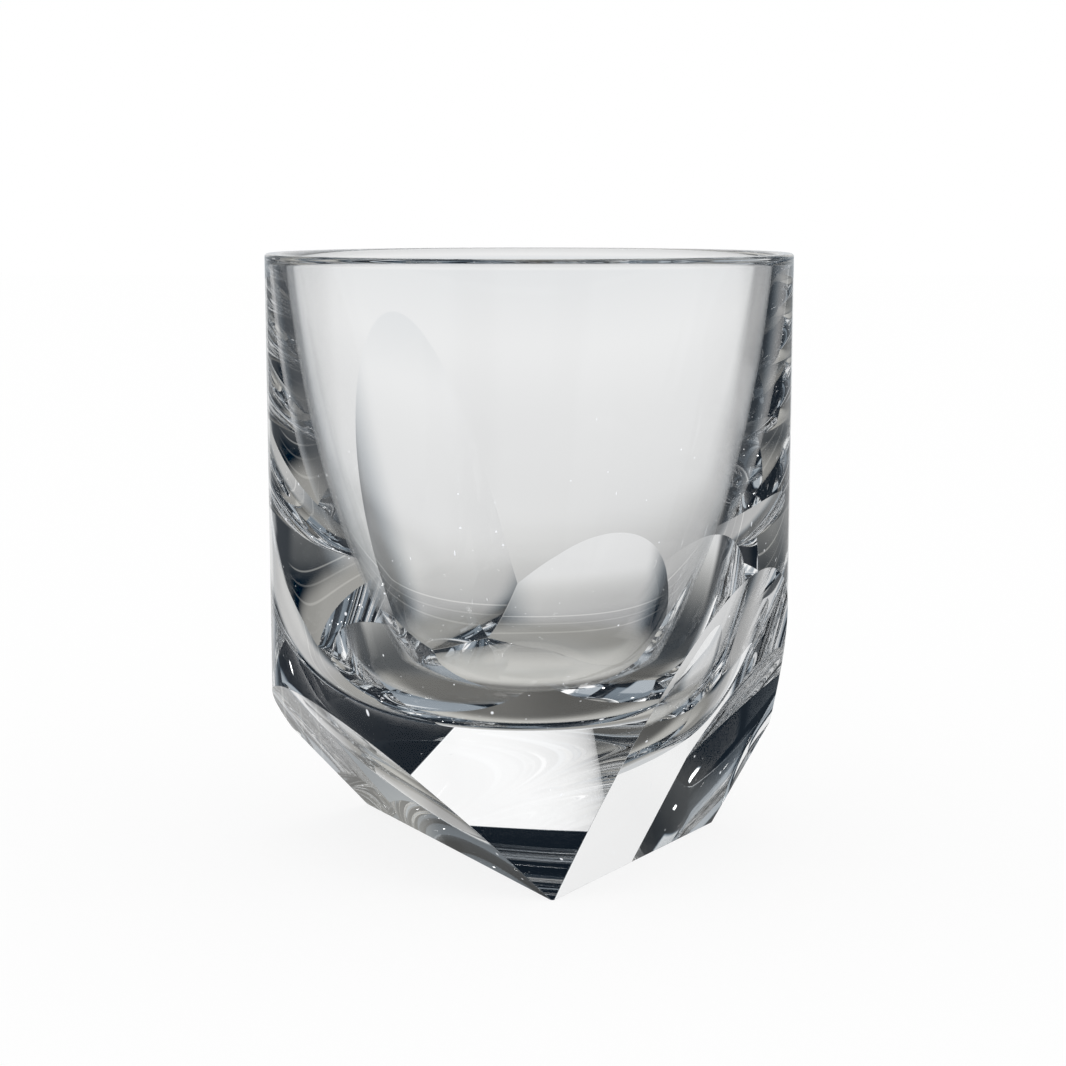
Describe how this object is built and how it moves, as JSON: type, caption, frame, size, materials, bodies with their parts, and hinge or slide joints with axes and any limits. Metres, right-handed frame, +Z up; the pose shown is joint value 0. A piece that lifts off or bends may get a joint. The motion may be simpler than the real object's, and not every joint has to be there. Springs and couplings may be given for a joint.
{
  "type": "drinking glass",
  "caption": "Heavy straight-sided crystal tumbler with a deep rounded bowl and a thick solid foot ground to polished slanting flats.",
  "frame": {"origin": "the middle of the foot, on the table, on the axis of the round blank", "axes": "+Z up along the axis of the bowl, -Y towards the front, where the pointed end of the foot is, +X to the right"},
  "size_m": [0.084, 0.084, 0.0945],
  "materials": {
    "crystal": "clear polished crystal, colourless, refractive index about 1.52 to 1.55"
  },
  "bodies": {
    "root": {"tumbler": "crystal"}
  },
  "joints": []
}
